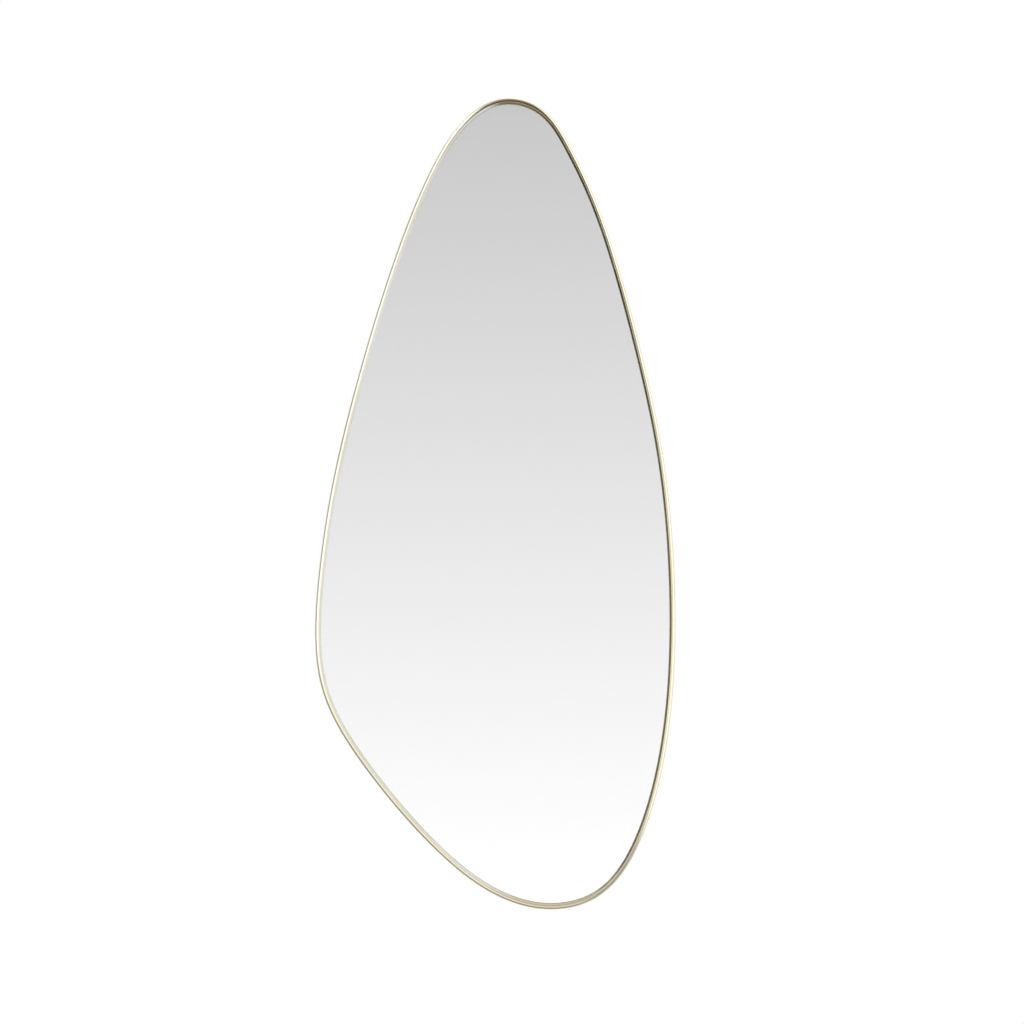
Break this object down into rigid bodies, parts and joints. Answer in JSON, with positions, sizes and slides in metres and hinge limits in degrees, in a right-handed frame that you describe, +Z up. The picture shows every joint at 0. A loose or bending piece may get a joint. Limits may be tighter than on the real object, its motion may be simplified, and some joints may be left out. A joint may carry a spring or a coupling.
{
  "type": "irregular shaped wall mirror",
  "caption": "Wall mirror of irregular, pebble-like outline in a slim brass rim: silvered glass on a backing board, with bumpers and swinging D-ring hangers behind.",
  "frame": {"origin": "on the wall plane, midway between the two points that the D-rings hang from, on the vertical through the centre of gravity", "axes": "+X to the right seen from the front, +Y into the wall, so the glass faces -Y, and +Z up"},
  "size_m": [0.489, 0.022, 1.1],
  "materials": {
    "rim": "satin-polished pale brass",
    "gasket": "matt off-white closed-cell foam",
    "glass": "clear float glass, polished edge",
    "silvering": "silvered front, grey film behind",
    "bonding_tape": "white foam tape",
    "backing_board": "fibreboard, painted matt charcoal",
    "bracket": "zinc-plated steel",
    "screw": "zinc-plated steel",
    "bumper": "matt black rubber",
    "hanger": "bright nickel plate"
  },
  "bodies": {
    "mirror": {"rim": "rim", "lip_gasket": "gasket", "mirror_glass": "glass", "silvered_film": "silvering", "bonding_tape_left": "bonding_tape", "bonding_tape_centre": "bonding_tape", "bonding_tape_right": "bonding_tape", "backing_board": "backing_board", "bracket_1": "bracket", "bracket_2": "bracket", "bracket_3": "bracket", "bracket_4": "bracket", "bracket_5": "bracket", "bracket_6": "bracket", "bracket_7": "bracket", "bracket_8": "bracket", "bracket_screw_1": "screw", "bracket_screw_2": "screw", "bracket_screw_3": "screw", "bracket_screw_4": "screw", "bracket_screw_5": "screw", "bracket_screw_6": "screw", "bracket_screw_7": "screw", "bracket_screw_8": "screw", "wall_bumper_1": "bumper", "wall_bumper_2": "bumper", "wall_bumper_3": "bumper", "wall_bumper_4": "bumper", "bumper_screw_1": "screw", "bumper_screw_2": "screw", "bumper_screw_3": "screw", "bumper_screw_4": "screw", "hanger_strap_left": "hanger", "hanger_screw_left_lower": "screw", "hanger_screw_left_upper": "screw", "hanger_strap_right": "hanger", "hanger_screw_right_lower": "screw", "hanger_screw_right_upper": "screw"},
    "ring_left": {"hanger_ring_left": "hanger"},
    "ring_right": {"hanger_ring_right": "hanger"}
  },
  "joints": [
    {"name": "ring_left_swing", "type": "hinge", "parent": "mirror", "child": "ring_left", "pos_m": [-0.1, -0.0049, -0.01455], "axis": [-1, 0, 0], "range_deg": [0, 180]},
    {"name": "ring_right_swing", "type": "hinge", "parent": "mirror", "child": "ring_right", "pos_m": [0.1, -0.0049, -0.01455], "axis": [-1, 0, 0], "range_deg": [0, 180]}
  ]
}
